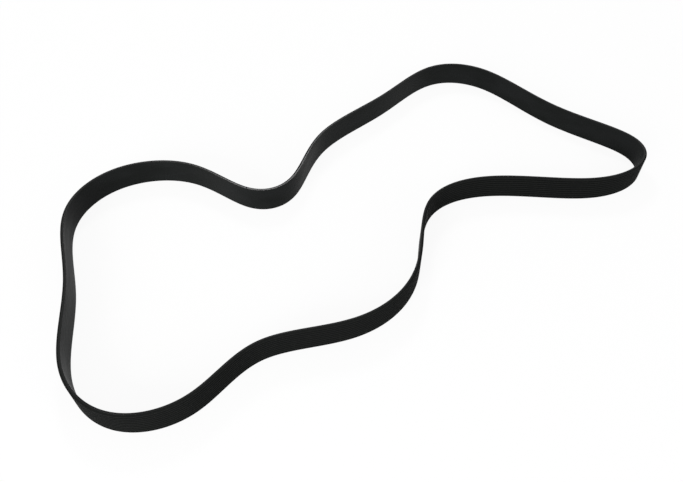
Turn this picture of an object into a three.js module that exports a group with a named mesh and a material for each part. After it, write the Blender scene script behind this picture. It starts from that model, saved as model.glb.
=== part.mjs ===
// A serpentine belt, the endless ribbed belt that drives the accessories of a car engine.
// It is one moulded piece of rubber: a flat back that carries a row of V-shaped ribs.
// It stands free on one cut edge, with the ribs turned outwards and the smooth back inwards,
// and lies in the slack, wavy loop that such a belt takes when no pulley stretches it.
// Millimetres and degrees. +Z is up, across the width of the belt, and Z = 0 is the lower edge.
import * as THREE from "three";

// Section of the belt
const ribCount = 10;
const ribPitch = 3.56; // from one rib to the next, the size that car pulleys are cut for
const ribTipWidth = 1.3; // flat top of a rib
const grooveFloorWidth = 0.66; // flat bottom between two ribs
const ribAngle = 40; // between the two flanks of a rib
const backThickness = 2.2; // from the smooth back to the groove floors

// Loop of the belt
const beltLength = 2275; // once round, measured at the groove floors

// How finely the loop is cut into straight steps, short in the bends and long on the flat runs
const curveTolerance = 0.3; // how far a straight step may leave the curve
const curveSamples = 4000; // points at which the curve is measured

// Plan of the loop, seen from above and taken anticlockwise, as the corners of the frame
// that a smooth curve is drawn into. They suit a belt of about the length above.
const loopFrame = [
  // Far bend, and the run down its left side to the deep hollow
  [104, 322],
  [31, 216],
  [-82, 137],
  [-94, 20],
  [-162, -4],
  // Wide left bend, and the left side with a slight hollow half way along it
  [-241, 77],
  [-357, 65],
  [-411, -26],
  [-350, -141],
  [-343, -260],
  // Near bend
  [-273, -323],
  [-181, -300],
  // Near side, which draws in, swells out once and then draws in again to the waist
  [-139, -213],
  [-14, -210],
  [67, -132],
  [59, 1],
  // Right run, almost straight, and the tight bend at its end
  [161, 46],
  [308, 17],
  [390, 59],
  [402, 126],
  // Slightly hollow run back to the far bend
  [280, 186],
  [206, 309],
];

const rubber = new THREE.MeshStandardMaterial({
  color: 0x1c1e1d,
  roughness: 0.72,
  metalness: 0,
  flatShading: true, // keeps the edges of the ribs sharp
});

// The outline of the belt cut across, as [distance outwards from the groove floors, height] pairs.
// Both cut edges run down the middle of a groove, so half a groove floor is left beside the outer ribs.
function beltSection() {
  const flankWidth = (ribPitch - ribTipWidth - grooveFloorWidth) / 2;
  const ribHeight = flankWidth / Math.tan(THREE.MathUtils.degToRad(ribAngle / 2));
  const beltWidth = ribCount * ribPitch;
  const outline = [
    [-backThickness, 0],
    [0, 0],
  ];
  for (let rib = 0; rib < ribCount; rib++) {
    const foot = rib * ribPitch + grooveFloorWidth / 2;
    const tip = foot + flankWidth;
    outline.push([0, foot]);
    outline.push([ribHeight, tip]);
    outline.push([ribHeight, tip + ribTipWidth]);
    outline.push([0, tip + ribTipWidth + flankWidth]);
  }
  outline.push([0, beltWidth]);
  outline.push([-backThickness, beltWidth]);
  return outline;
}

// A smooth closed curve drawn into a frame. Each point is a blend of the four corners beside it,
// so the curve bends as evenly as a rubber strip does and joins itself without a kink.
class LoopCurve extends THREE.Curve {
  constructor(corners) {
    super();
    this.corners = corners;
    this.arcLengthDivisions = curveSamples;
  }

  getPoint(t, target = new THREE.Vector3()) {
    const place = t * this.corners.length;
    const first = Math.floor(place);
    const u = place - first;
    const weights = [
      (1 - u) ** 3 / 6,
      (3 * u ** 3 - 6 * u ** 2 + 4) / 6,
      (-3 * u ** 3 + 3 * u ** 2 + 3 * u + 1) / 6,
      u ** 3 / 6,
    ];
    target.set(0, 0, 0);
    weights.forEach((weight, i) => {
      const [x, y] = this.corners[(first + i) % this.corners.length];
      target.x += weight * x;
      target.y += weight * y;
    });
    return target;
  }
}

// The curve of the belt: the frame is scaled until the way round is the belt's length.
function beltCurve() {
  const scale = beltLength / new LoopCurve(loopFrame).getLength();
  return new LoopCurve(loopFrame.map(([x, y]) => [x * scale, y * scale]));
}

// The places along the curve where the section stands, each with its point and outward direction.
// A step of length L that turns by an angle A leaves the curve by about L * A / 8.
function stationsAlong(curve) {
  const samples = [];
  let steps = 0;
  for (let i = 0; i <= curveSamples; i++) {
    const point = curve.getPoint(i / curveSamples);
    const tangent = curve.getTangent(i / curveSamples);
    const last = samples.at(-1);
    if (last) {
      const turn = last.tangent.angleTo(tangent);
      const length = last.point.distanceTo(point);
      steps += Math.sqrt((length * turn) / (8 * curveTolerance));
    }
    samples.push({ point, tangent, steps });
  }
  const count = Math.round(steps);
  return Array.from({ length: count }, (_, k) => {
    const { point, tangent } = samples.find((sample) => sample.steps >= (k * steps) / count);
    return { point, outward: new THREE.Vector3(tangent.y, -tangent.x, 0) };
  });
}

// A closed ring: the section stands at each station and is joined to the next one all round.
function sweptRing(outline, stations) {
  const positions = [];
  for (const { point, outward } of stations) {
    for (const [distance, height] of outline) {
      positions.push(point.x + outward.x * distance, point.y + outward.y * distance, height);
    }
  }
  const faces = [];
  const across = outline.length;
  stations.forEach((_, i) => {
    const here = i * across;
    const next = ((i + 1) % stations.length) * across;
    outline.forEach((_, j) => {
      const k = (j + 1) % across;
      faces.push(here + j, next + j, next + k);
      faces.push(here + j, next + k, here + k);
    });
  });
  const geometry = new THREE.BufferGeometry();
  geometry.setAttribute("position", new THREE.Float32BufferAttribute(positions, 3));
  geometry.setIndex(faces);
  return geometry;
}

// The belt, moved in plan so that the middle of its box stands over the origin.
function makeBelt() {
  const geometry = sweptRing(beltSection(), stationsAlong(beltCurve()));
  geometry.computeBoundingBox();
  const middle = geometry.boundingBox.getCenter(new THREE.Vector3());
  const belt = new THREE.Mesh(geometry, rubber);
  belt.name = "serpentine_belt";
  belt.position.set(-middle.x, -middle.y, 0);
  return belt;
}

const part = new THREE.Group();
part.add(makeBelt());

export default part;
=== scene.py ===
# Serpentine belt of a car engine: one endless ribbed belt that stands on its edge in a slack loop
import math

import bpy
from mathutils import Euler, Matrix, Vector


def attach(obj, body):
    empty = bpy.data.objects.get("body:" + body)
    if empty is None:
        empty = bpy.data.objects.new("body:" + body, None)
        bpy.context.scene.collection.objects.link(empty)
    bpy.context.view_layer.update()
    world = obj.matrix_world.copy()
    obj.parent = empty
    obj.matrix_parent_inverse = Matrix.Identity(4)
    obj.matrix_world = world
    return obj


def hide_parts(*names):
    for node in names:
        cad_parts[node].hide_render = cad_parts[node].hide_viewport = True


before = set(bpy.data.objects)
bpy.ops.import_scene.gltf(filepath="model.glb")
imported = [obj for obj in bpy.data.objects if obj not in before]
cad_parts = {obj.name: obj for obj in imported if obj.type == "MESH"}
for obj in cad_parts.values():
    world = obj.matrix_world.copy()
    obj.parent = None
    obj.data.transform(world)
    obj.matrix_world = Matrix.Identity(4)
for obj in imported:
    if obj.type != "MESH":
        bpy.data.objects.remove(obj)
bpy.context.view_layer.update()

mm = 0.001


# Helpers for node trees, used by the shape and by the finishes

def connect(tree, value, socket):
    # a value is a number, a colour, a material or the output socket of another node
    if isinstance(value, bpy.types.NodeSocket):
        tree.links.new(value, socket)
    else:
        socket.default_value = value


def addNode(tree, kind, inputs=None, **settings):
    node = tree.nodes.new(kind)
    for name, value in settings.items():
        setattr(node, name, value)
    for name, value in (inputs or {}).items():
        connect(tree, value, node.inputs[name])
    return node


def calc(tree, operation, *values):
    node = addNode(tree, "ShaderNodeMath", operation=operation)
    for value, socket in zip(values, node.inputs):
        connect(tree, value, socket)
    return node.outputs[0]


def joinXyz(tree, x, y, z):
    return addNode(tree, "ShaderNodeCombineXYZ", {"X": x, "Y": y, "Z": z}).outputs[0]


def pickByIndex(tree, index, values):
    node = addNode(tree, "GeometryNodeIndexSwitch", data_type="FLOAT")
    while len(node.index_switch_items) < len(values):
        node.index_switch_items.new()
    connect(tree, index, node.inputs["Index"])
    for number, value in enumerate(values):
        connect(tree, value, node.inputs[str(number)])
    return node.outputs[0]


def captureVector(tree, geometry, name, value):
    # keeps a value with the points of a curve, also once the curve has become part of a mesh
    node = addNode(tree, "GeometryNodeCaptureAttribute")
    node.capture_items.new("VECTOR", name)
    connect(tree, geometry, node.inputs["Geometry"])
    connect(tree, value, node.inputs[name])
    return node.outputs["Geometry"], node.outputs[name]


# The belt: a ribbed section that follows the loop once round

belt = {
    "ribs": 10,
    "ribPitch": 3.56 * mm,       # from one rib to the next
    "ribTip": 1.3 * mm,          # flat top of a rib
    "grooveFloor": 0.66 * mm,    # flat bottom between two ribs
    "ribAngle": 40,              # degrees, between the flanks of a rib
    "back": 2.2 * mm,            # from the smooth back to the groove floors
    "cornerRadius": 0.18 * mm,   # rubber has no knife edges
    "cornerPoints": 2,           # that round off each corner
    "backRadius": 0.45 * mm,     # the two corners of the smooth back are rounder
    "backPoints": 4,
    "length": 2275 * mm,         # once round, at the groove floors
    "sections": 600,             # along the loop
    "curveResolution": 64,       # steps to a corner of the frame, before the sections are spaced evenly
    # corners of the frame that the loop is drawn into, in mm, anticlockwise as seen from above
    "loopFrame": [
        (104, 322), (31, 216), (-82, 137), (-94, 20), (-162, -4),         # far bend to the deep hollow
        (-241, 77), (-357, 65), (-411, -26), (-350, -141), (-343, -260),  # left bend and left side
        (-273, -323), (-181, -300),                                       # near bend
        (-139, -213), (-14, -210), (67, -132), (59, 1),                   # near side, up to the waist
        (161, 46), (308, 17), (390, 59), (402, 126),                      # right run and its tight bend
        (280, 186), (206, 309),                                           # hollow run to the far bend
    ],
}


def ribbedOutline(tree, sizes):
    # the belt cut across: x runs outwards from the groove floors and y down, which is how a profile
    # lies on an anticlockwise path. The points go down the ribbed side, four to a rib and one at
    # each end, and come back up the smooth back
    pitch, tip, floor = sizes["Rib Pitch"], sizes["Rib Tip"], sizes["Groove Floor"]
    width = calc(tree, "MULTIPLY", sizes["Ribs"], pitch)
    flank = calc(tree, "MULTIPLY", calc(tree, "SUBTRACT", calc(tree, "SUBTRACT", pitch, tip), floor), 0.5)
    slope = calc(tree, "TANGENT", calc(tree, "MULTIPLY", sizes["Rib Angle"], 0.5))
    ribHeight = calc(tree, "DIVIDE", flank, slope)

    ribbedPoints = calc(tree, "MULTIPLY_ADD", sizes["Ribs"], 4, 2)
    line = addNode(tree, "GeometryNodeMeshLine", {"Count": calc(tree, "ADD", ribbedPoints, 2)})
    index = addNode(tree, "GeometryNodeInputIndex").outputs[0]
    place = calc(tree, "SUBTRACT", index, 1)
    rib = calc(tree, "FLOOR", calc(tree, "DIVIDE", place, 4))
    corner = calc(tree, "FLOORED_MODULO", place, 4)

    upperFoot = calc(tree, "MULTIPLY", floor, 0.5)
    upperTip = calc(tree, "ADD", upperFoot, flank)
    lowerTip = calc(tree, "ADD", upperTip, tip)
    lowerFoot = calc(tree, "ADD", lowerTip, flank)
    belowTop = pickByIndex(tree, corner, [upperFoot, upperTip, lowerTip, lowerFoot])
    belowTop = calc(tree, "MULTIPLY_ADD", rib, pitch, belowTop)
    level = addNode(tree, "ShaderNodeClamp", {
        "Value": calc(tree, "SUBTRACT", width, belowTop), "Min": 0.0, "Max": width}).outputs[0]
    atTopOfBack = calc(tree, "GREATER_THAN", index, calc(tree, "ADD", ribbedPoints, 0.5))
    level = pickByIndex(tree, atTopOfBack, [level, width])

    outwards = pickByIndex(tree, corner, [0.0, ribHeight, ribHeight, 0.0])
    onBack = calc(tree, "GREATER_THAN", index, calc(tree, "SUBTRACT", ribbedPoints, 0.5))
    outwards = pickByIndex(tree, onBack, [outwards, calc(tree, "MULTIPLY", sizes["Back Thickness"], -1)])

    depth = calc(tree, "MULTIPLY", level, -1)
    points = addNode(tree, "GeometryNodeSetPosition", {
        "Geometry": line.outputs[0], "Position": joinXyz(tree, outwards, depth, 0.0)})
    outline = addNode(tree, "GeometryNodeMeshToCurve", {"Mesh": points.outputs[0]})
    closed = addNode(tree, "GeometryNodeSetSplineCyclic", {"Geometry": outline.outputs[0], "Cyclic": True})
    place = addNode(tree, "ShaderNodeSeparateXYZ", {
        "Vector": addNode(tree, "GeometryNodeInputPosition").outputs[0]}).outputs
    backCorner = calc(tree, "LESS_THAN", place["X"], calc(tree, "MULTIPLY", sizes["Back Thickness"], -0.5))
    rounded = addNode(tree, "GeometryNodeFilletCurve", {
        "Curve": closed.outputs[0],
        "Count": pickByIndex(tree, backCorner, [sizes["Corner Points"], sizes["Back Points"]]),
        "Radius": pickByIndex(tree, backCorner, [sizes["Corner Radius"], sizes["Back Radius"]]),
        "Limit Radius": True}, mode="POLY")
    return rounded.outputs[0], width


def loopPath(tree, sizes):
    # the path drawn in the loop's frame, brought to the belt's length and cut into even steps
    drawnLength = addNode(tree, "GeometryNodeCurveLength", {"Curve": sizes["Geometry"]}).outputs[0]
    scale = calc(tree, "DIVIDE", sizes["Belt Length"], drawnLength)
    scaled = addNode(tree, "GeometryNodeTransform", {
        "Geometry": sizes["Geometry"], "Scale": joinXyz(tree, scale, scale, scale)})
    stepped = addNode(tree, "GeometryNodeResampleCurve", {
        "Curve": scaled.outputs[0], "Count": sizes["Sections"]}, mode="COUNT")
    upright = addNode(tree, "GeometryNodeSetCurveNormal", {"Curve": stepped.outputs[0]}, mode="Z_UP")
    return upright.outputs[0]


def beltTree():
    tree = bpy.data.node_groups.new("ribbedBelt", "GeometryNodeTree")
    tree.is_modifier = True
    kinds = {
        "Geometry": "Geometry", "Ribs": "Int", "Rib Pitch": "Float", "Rib Tip": "Float",
        "Groove Floor": "Float", "Rib Angle": "Float", "Back Thickness": "Float",
        "Corner Radius": "Float", "Corner Points": "Int", "Back Radius": "Float", "Back Points": "Int",
        "Belt Length": "Float", "Sections": "Int",
        "Rib Finish": "Material", "Back Finish": "Material", "Edge Finish": "Material",
    }
    for name, kind in kinds.items():
        tree.interface.new_socket(name, in_out="INPUT", socket_type="NodeSocket" + kind)
    tree.interface.new_socket("Geometry", in_out="OUTPUT", socket_type="NodeSocketGeometry")
    sizes = addNode(tree, "NodeGroupInput").outputs

    # where a point lies along the loop, as a place on a circle of radius 1, which has no seam
    turn = calc(tree, "MULTIPLY", addNode(tree, "GeometryNodeSplineParameter").outputs["Factor"], math.tau)
    onCircle = joinXyz(tree, calc(tree, "COSINE", turn), calc(tree, "SINE", turn), 0.0)
    path, onCircle = captureVector(tree, loopPath(tree, sizes), "On Circle", onCircle)
    outline, width = ribbedOutline(tree, sizes)
    position = addNode(tree, "GeometryNodeInputPosition").outputs[0]
    outline, inSection = captureVector(tree, outline, "In Section", position)
    swept = addNode(tree, "GeometryNodeCurveToMesh", {"Curve": path, "Profile Curve": outline}).outputs[0]
    section = addNode(tree, "ShaderNodeSeparateXYZ", {"Vector": inSection}).outputs
    outwards, level = section["X"], calc(tree, "MULTIPLY", section["Y"], -1)

    # for the finishes: x and y follow the belt round a circle of its own length, z runs across it
    radius = calc(tree, "DIVIDE", sizes["Belt Length"], math.tau)
    around = addNode(tree, "ShaderNodeVectorMath", {0: onCircle, "Scale": radius}, operation="SCALE")
    across = joinXyz(tree, 0.0, 0.0, calc(tree, "ADD", level, outwards))
    onBelt = addNode(tree, "ShaderNodeVectorMath", {0: around.outputs[0], 1: across}, operation="ADD")
    swept = addNode(tree, "GeometryNodeStoreNamedAttribute", {
        "Geometry": swept, "Name": "onBelt", "Value": onBelt.outputs[0]},
        data_type="FLOAT_VECTOR", domain="POINT").outputs[0]
    swept = addNode(tree, "GeometryNodeStoreNamedAttribute", {
        "Geometry": swept, "Name": "outwards", "Value": outwards},
        data_type="FLOAT", domain="POINT").outputs[0]

    # the middle of the belt's box stands over the origin, as in the frame
    box = addNode(tree, "GeometryNodeBoundBox", {"Geometry": swept})
    middle = addNode(tree, "ShaderNodeVectorMath", {
        0: box.outputs["Min"], 1: box.outputs["Max"]}, operation="ADD").outputs[0]
    middle = addNode(tree, "ShaderNodeVectorMath", {0: middle, 1: (-0.5, -0.5, 0)}, operation="MULTIPLY")
    centred = addNode(tree, "GeometryNodeSetPosition", {
        "Geometry": swept, "Offset": middle.outputs[0]}).outputs[0]

    smooth = addNode(tree, "GeometryNodeSetShadeSmooth", {"Geometry": centred}).outputs[0]
    shape = addNode(tree, "GeometryNodeRealizeInstances", {"Geometry": smooth}).outputs[0]
    nearly = 0.01 * mm  # how far a point may stand off a face that it counts as part of
    back = calc(tree, "MULTIPLY", sizes["Back Thickness"], -1)
    onBack = calc(tree, "COMPARE", outwards, back, nearly)
    fromMiddle = calc(tree, "ABSOLUTE", calc(tree, "MULTIPLY_ADD", width, -0.5, level))
    edgeDepth = calc(tree, "SUBTRACT", calc(tree, "MULTIPLY", width, 0.5), sizes["Back Radius"])
    onEdge = calc(tree, "MULTIPLY",
                  calc(tree, "GREATER_THAN", fromMiddle, edgeDepth),
                  calc(tree, "LESS_THAN", outwards, -nearly))
    for finish, where in (("Rib Finish", True), ("Edge Finish", onEdge), ("Back Finish", onBack)):
        shape = addNode(tree, "GeometryNodeSetMaterial", {
            "Geometry": shape, "Selection": where, "Material": sizes[finish]}).outputs[0]
    connect(tree, shape, addNode(tree, "NodeGroupOutput").inputs["Geometry"])
    return tree


def drawnPath(name, corners, resolution):
    curve = bpy.data.curves.new(name, "CURVE")
    curve.dimensions = "3D"
    spline = curve.splines.new("NURBS")
    spline.points.add(len(corners) - 1)
    for point, (x, y) in zip(spline.points, corners):
        point.co = (x * mm, y * mm, 0, 1)
    spline.order_u = 4  # each point of the path is a blend of the four corners beside it
    spline.use_cyclic_u = True
    spline.resolution_u = resolution
    path = bpy.data.objects.new(name, curve)
    bpy.context.scene.collection.objects.link(path)
    return path


def setInputs(modifier, values):
    for item in modifier.node_group.interface.items_tree:
        if item.in_out == "INPUT" and item.name in values:
            modifier[item.identifier] = values[item.name]


def makeBelt(finishes):
    path = drawnPath("loopPath", belt["loopFrame"], belt["curveResolution"])
    sweep = path.modifiers.new("ribbedBelt", "NODES")
    sweep.node_group = beltTree()
    setInputs(sweep, {
        "Ribs": belt["ribs"], "Rib Pitch": belt["ribPitch"], "Rib Tip": belt["ribTip"],
        "Groove Floor": belt["grooveFloor"], "Rib Angle": math.radians(belt["ribAngle"]),
        "Back Thickness": belt["back"],
        "Corner Radius": belt["cornerRadius"], "Corner Points": belt["cornerPoints"],
        "Back Radius": belt["backRadius"], "Back Points": belt["backPoints"],
        "Belt Length": belt["length"], "Sections": belt["sections"],
        "Rib Finish": finishes["ribs"], "Back Finish": finishes["back"], "Edge Finish": finishes["edge"],
    })
    bpy.context.view_layer.update()
    swept = path.evaluated_get(bpy.context.evaluated_depsgraph_get())
    mesh = bpy.data.meshes.new_from_object(swept)
    mesh.name = "ribbedBelt"
    path.modifiers.remove(sweep)
    bpy.data.objects.remove(path)
    piece = bpy.data.objects.new("ribbedBelt", mesh)
    bpy.context.scene.collection.objects.link(piece)
    flattenFaces(piece)
    return piece


def flattenFaces(piece):
    # the large faces shade flat and only the narrow rounded corners between them turn
    weighted = piece.modifiers.new("flatFaces", "WEIGHTED_NORMAL")
    evaluated = piece.evaluated_get(bpy.context.evaluated_depsgraph_get())
    rough = piece.data
    piece.data = bpy.data.meshes.new_from_object(evaluated)
    piece.modifiers.remove(weighted)
    bpy.data.meshes.remove(rough)


# Rubber finishes. Their patterns read the belt's own attributes, in metres

backLook = {
    "colour": (0.0064, 0.0072, 0.0068, 1),
    "bloomColour": (0.0094, 0.0102, 0.0102, 1),  # faint pale bloom of moulded rubber
    "bloomLength": 60 * mm,                      # along the belt
    "bloomWidth": 20 * mm,
    "bloomShare": (0.3, 0.7),                    # of the noise, where the bloom starts and is full
    "roughness": (0.46, 0.54),                   # where the bloom is least and most
    "unevenSize": 4.5 * mm,                      # gentle dents of the moulded surface
    "unevenHeight": 0.22 * mm,
    "grainSize": 0.9 * mm,
    "grainHeight": 0.06 * mm,
    "streakLength": 70 * mm,                     # faint lines that run along the belt
    "streakWidth": 0.9 * mm,
    "streakHeight": 0.045 * mm,
}

ribLook = {
    "colour": (0.0084, 0.0090, 0.0087, 1),
    "paintedLitTipColour": (0.0096, 0.0101, 0.0098, 1),    # the tips are painted paler, as painted shade on the flanks and groove floors below them
    "paintedLitTipDepth": 0.35 * mm,
    "fleckColour": (0.030, 0.030, 0.028, 1),     # ends of short fibres in the ground rubber
    "fleckLength": 0.9 * mm,
    "fleckWidth": 0.14 * mm,
    "fleckShare": (0.66, 0.72),                  # of the noise, where a fleck starts and is full
    "roughness": (0.46, 0.56),
    "roughShare": (0.3, 0.7),                    # of the noise, where it is least and most rough
    "grindLength": 45 * mm,                      # lines left by the grinding wheel
    "grindWidth": 0.16 * mm,
    "grindHeight": 0.010 * mm,
}

edgeLook = {
    "colour": (0.0080, 0.0085, 0.0082, 1),
    "paleColour": (0.0130, 0.0134, 0.0130, 1),   # where the knife has smeared the rubber
    "paleShare": (0.4, 0.75),                    # of the noise, where a smear starts and is full
    "roughness": (0.24, 0.34),
    "roughShare": (0.3, 0.7),                    # of the noise, where it is least and most rough
    "cutLength": 18 * mm,                        # lines left by the knife
    "cutWidth": 0.22 * mm,
    "cutHeight": 0.012 * mm,
}

gloss = {"back": 0.045, "ribs": 0.012, "edge": 0.10}  # specular level; such rubber is very matt


def newFinish(name, specularLevel):
    material = bpy.data.materials.new(name)
    material.use_nodes = True
    tree = material.node_tree
    shader = tree.nodes["Principled BSDF"]
    shader.inputs["Specular IOR Level"].default_value = specularLevel
    return material, tree, shader


def beltNoise(tree, along, across, detail=2.0):
    # noise with features of the given length along the belt and across its surface
    place = addNode(tree, "ShaderNodeAttribute", attribute_name="onBelt").outputs["Vector"]
    scale = (1 / along, 1 / along, 1 / across)
    stretched = addNode(tree, "ShaderNodeMapping", {"Vector": place, "Scale": scale}).outputs[0]
    return addNode(tree, "ShaderNodeTexNoise", {
        "Vector": stretched, "Scale": 1.0, "Detail": detail}).outputs["Fac"]


def remap(tree, value, fromRange, toRange):
    node = addNode(tree, "ShaderNodeMapRange", {
        "Value": value, "From Min": fromRange[0], "From Max": fromRange[1],
        "To Min": toRange[0], "To Max": toRange[1]}, interpolation_type="SMOOTHSTEP")
    return node.outputs[0]


def blend(tree, share, first, second):
    node = addNode(tree, "ShaderNodeMix", {"Factor": share}, data_type="RGBA")
    colours = [socket for socket in node.inputs if socket.type == "RGBA"]
    connect(tree, first, colours[0])
    connect(tree, second, colours[1])
    return next(socket for socket in node.outputs if socket.type == "RGBA")


def relief(tree, height, distance, under=None):
    inputs = {"Height": height, "Distance": distance, "Strength": 1.0}
    if under:
        inputs["Normal"] = under
    return addNode(tree, "ShaderNodeBump", inputs).outputs["Normal"]


def backFinish():
    material, tree, shader = newFinish("smoothBack", gloss["back"])
    look = backLook
    cloud = beltNoise(tree, look["bloomLength"], look["bloomWidth"], detail=3.0)
    bloom = remap(tree, cloud, look["bloomShare"], (0, 1))
    connect(tree, blend(tree, bloom, look["colour"], look["bloomColour"]), shader.inputs["Base Color"])
    connect(tree, remap(tree, bloom, (0, 1), look["roughness"]), shader.inputs["Roughness"])
    dents = beltNoise(tree, look["unevenSize"], look["unevenSize"], detail=1.0)
    dents = relief(tree, dents, look["unevenHeight"])
    streaks = beltNoise(tree, look["streakLength"], look["streakWidth"])
    streaks = relief(tree, streaks, look["streakHeight"], dents)
    grain = beltNoise(tree, look["grainSize"], look["grainSize"], detail=3.0)
    connect(tree, relief(tree, grain, look["grainHeight"], streaks), shader.inputs["Normal"])
    return material


def ribFinish():
    material, tree, shader = newFinish("groundRibs", gloss["ribs"])
    look = ribLook
    ribHeight = (belt["ribPitch"] - belt["ribTip"] - belt["grooveFloor"]) / 2
    ribHeight /= math.tan(math.radians(belt["ribAngle"] / 2))
    outwards = addNode(tree, "ShaderNodeAttribute", attribute_name="outwards").outputs["Fac"]
    # the top of each rib is painted paler than its flanks and groove floor: painted shade deeper in the
    # grooves
    tip = remap(tree, outwards, (ribHeight - look["paintedLitTipDepth"], ribHeight), (0, 1))
    grind = beltNoise(tree, look["grindLength"], look["grindWidth"], detail=3.0)
    colour = blend(tree, tip, look["colour"], look["paintedLitTipColour"])
    # the fibres lie across the belt, so a fleck is long across it and narrow along it
    fibres = beltNoise(tree, look["fleckWidth"], look["fleckLength"], detail=1.0)
    flecks = remap(tree, fibres, look["fleckShare"], (0, 1))
    connect(tree, blend(tree, flecks, colour, look["fleckColour"]), shader.inputs["Base Color"])
    connect(tree, remap(tree, grind, look["roughShare"], look["roughness"]), shader.inputs["Roughness"])
    connect(tree, relief(tree, grind, look["grindHeight"]), shader.inputs["Normal"])
    return material


def edgeFinish():
    material, tree, shader = newFinish("cutEdge", gloss["edge"])
    look = edgeLook
    cut = beltNoise(tree, look["cutLength"], look["cutWidth"], detail=3.0)
    pale = remap(tree, cut, look["paleShare"], (0, 1))
    connect(tree, blend(tree, pale, look["colour"], look["paleColour"]), shader.inputs["Base Color"])
    connect(tree, remap(tree, cut, look["roughShare"], look["roughness"]), shader.inputs["Roughness"])
    connect(tree, relief(tree, cut, look["cutHeight"]), shader.inputs["Normal"])
    return material


# The studio: a white floor, soft lights and the camera of the photograph

studio = {
    "floorSize": 16.0,
    "floorColour": (0.9, 0.9, 0.9, 1),
    "floorGlow": (0.92, 1.0),    # share of plain white in what the camera sees, near the belt and far off
    "glowReach": (0.5, 1.8),     # from the middle of the belt to where each of them holds
    "worldColour": (0.45, 0.45, 0.45, 1),
    # name, direction and height that the light comes from in degrees, distance, side, power in watts
    "lamps": [
        ("keyLight", 240, 20, 2.6, 1.1, 62),
        ("sideLight", 330, 20, 2.6, 1.1, 20),
        ("edgeLight", 103, 43, 2.6, 0.5, 23),     # from behind, catches the upper cut edge
    ],
    "cameraPlace": (-0.0374, -0.5873, 0.5947),
    "cameraPitch": 47.95,        # degrees down from level
    "cameraRoll": -0.11,
    "cameraLens": 32.455,
}


def cameraOrGlossyRay(tree):
    # 1 for a ray from the camera, a reflection or through something clear, and 0 for the light itself
    rays = addNode(tree, "ShaderNodeLightPath").outputs
    seen = calc(tree, "MAXIMUM", rays["Is Camera Ray"], rays["Is Glossy Ray"])
    return calc(tree, "MAXIMUM", seen, rays["Is Transmission Ray"])


def makeFloor():
    half = studio["floorSize"] / 2
    mesh = bpy.data.meshes.new("floor")
    corners = [(-half, -half, 0), (half, -half, 0), (half, half, 0), (-half, half, 0)]
    mesh.from_pydata(corners, [], [(0, 1, 2, 3)])
    floor = bpy.data.objects.new("floor", mesh)
    bpy.context.scene.collection.objects.link(floor)
    material = bpy.data.materials.new("paleFloor")
    material.use_nodes = True
    tree = material.node_tree
    shader = tree.nodes["Principled BSDF"]
    shader.inputs["Base Color"].default_value = studio["floorColour"]
    shader.inputs["Roughness"].default_value = 1.0
    shader.inputs["Specular IOR Level"].default_value = 0.0
    white = addNode(tree, "ShaderNodeEmission", {"Color": (1, 1, 1, 1), "Strength": 1.0})
    place = addNode(tree, "ShaderNodeTexCoord").outputs["Object"]
    fromBelt = addNode(tree, "ShaderNodeVectorMath", {0: place}, operation="LENGTH").outputs["Value"]
    glow = remap(tree, fromBelt, studio["glowReach"], studio["floorGlow"])
    share = calc(tree, "MULTIPLY", cameraOrGlossyRay(tree), glow)
    mixed = addNode(tree, "ShaderNodeMixShader", {0: share, 1: shader.outputs[0], 2: white.outputs[0]})
    tree.links.new(mixed.outputs[0], tree.nodes["Material Output"].inputs["Surface"])
    mesh.materials.append(material)


def makeWorld():
    world = bpy.data.worlds.new("studioWorld")
    bpy.context.scene.world = world
    world.use_nodes = True
    tree = world.node_tree
    lit = tree.nodes["Background"]
    lit.inputs["Color"].default_value = studio["worldColour"]
    white = addNode(tree, "ShaderNodeBackground", {"Color": (1, 1, 1, 1), "Strength": 1.0})
    mixed = addNode(tree, "ShaderNodeMixShader", {
        0: cameraOrGlossyRay(tree), 1: lit.outputs[0], 2: white.outputs[0]})
    tree.links.new(mixed.outputs[0], tree.nodes["World Output"].inputs["Surface"])


def makeLamps():
    for name, direction, height, distance, side, power in studio["lamps"]:
        lamp = bpy.data.lights.new(name, "AREA")
        lamp.shape = "SQUARE"
        lamp.size = side
        lamp.energy = power
        turned = Euler((0, -math.radians(height), math.radians(direction))).to_matrix()
        place = turned @ Vector((distance, 0, 0))
        holder = bpy.data.objects.new(name, lamp)
        holder.location = place
        holder.rotation_euler = (-place).to_track_quat("-Z", "Y").to_euler()
        bpy.context.scene.collection.objects.link(holder)


def makeCamera():
    camera = bpy.data.objects.new("camera", bpy.data.cameras.new("camera"))
    camera.data.lens = studio["cameraLens"]
    tilt = Matrix.Rotation(math.radians(90 - studio["cameraPitch"]), 4, "X")
    roll = Matrix.Rotation(math.radians(studio["cameraRoll"]), 4, "Z")
    camera.matrix_world = Matrix.Translation(studio["cameraPlace"]) @ tilt @ roll
    bpy.context.scene.collection.objects.link(camera)
    bpy.context.scene.camera = camera


scene = bpy.context.scene
scene.view_settings.view_transform = "Standard"

makeCamera()
makeWorld()
makeFloor()
makeLamps()
print("studio ready")

beltPiece = makeBelt({"ribs": ribFinish(), "back": backFinish(), "edge": edgeFinish()})
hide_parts("serpentine_belt")
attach(beltPiece, "root")
print("belt swept:", len(beltPiece.data.polygons), "faces")
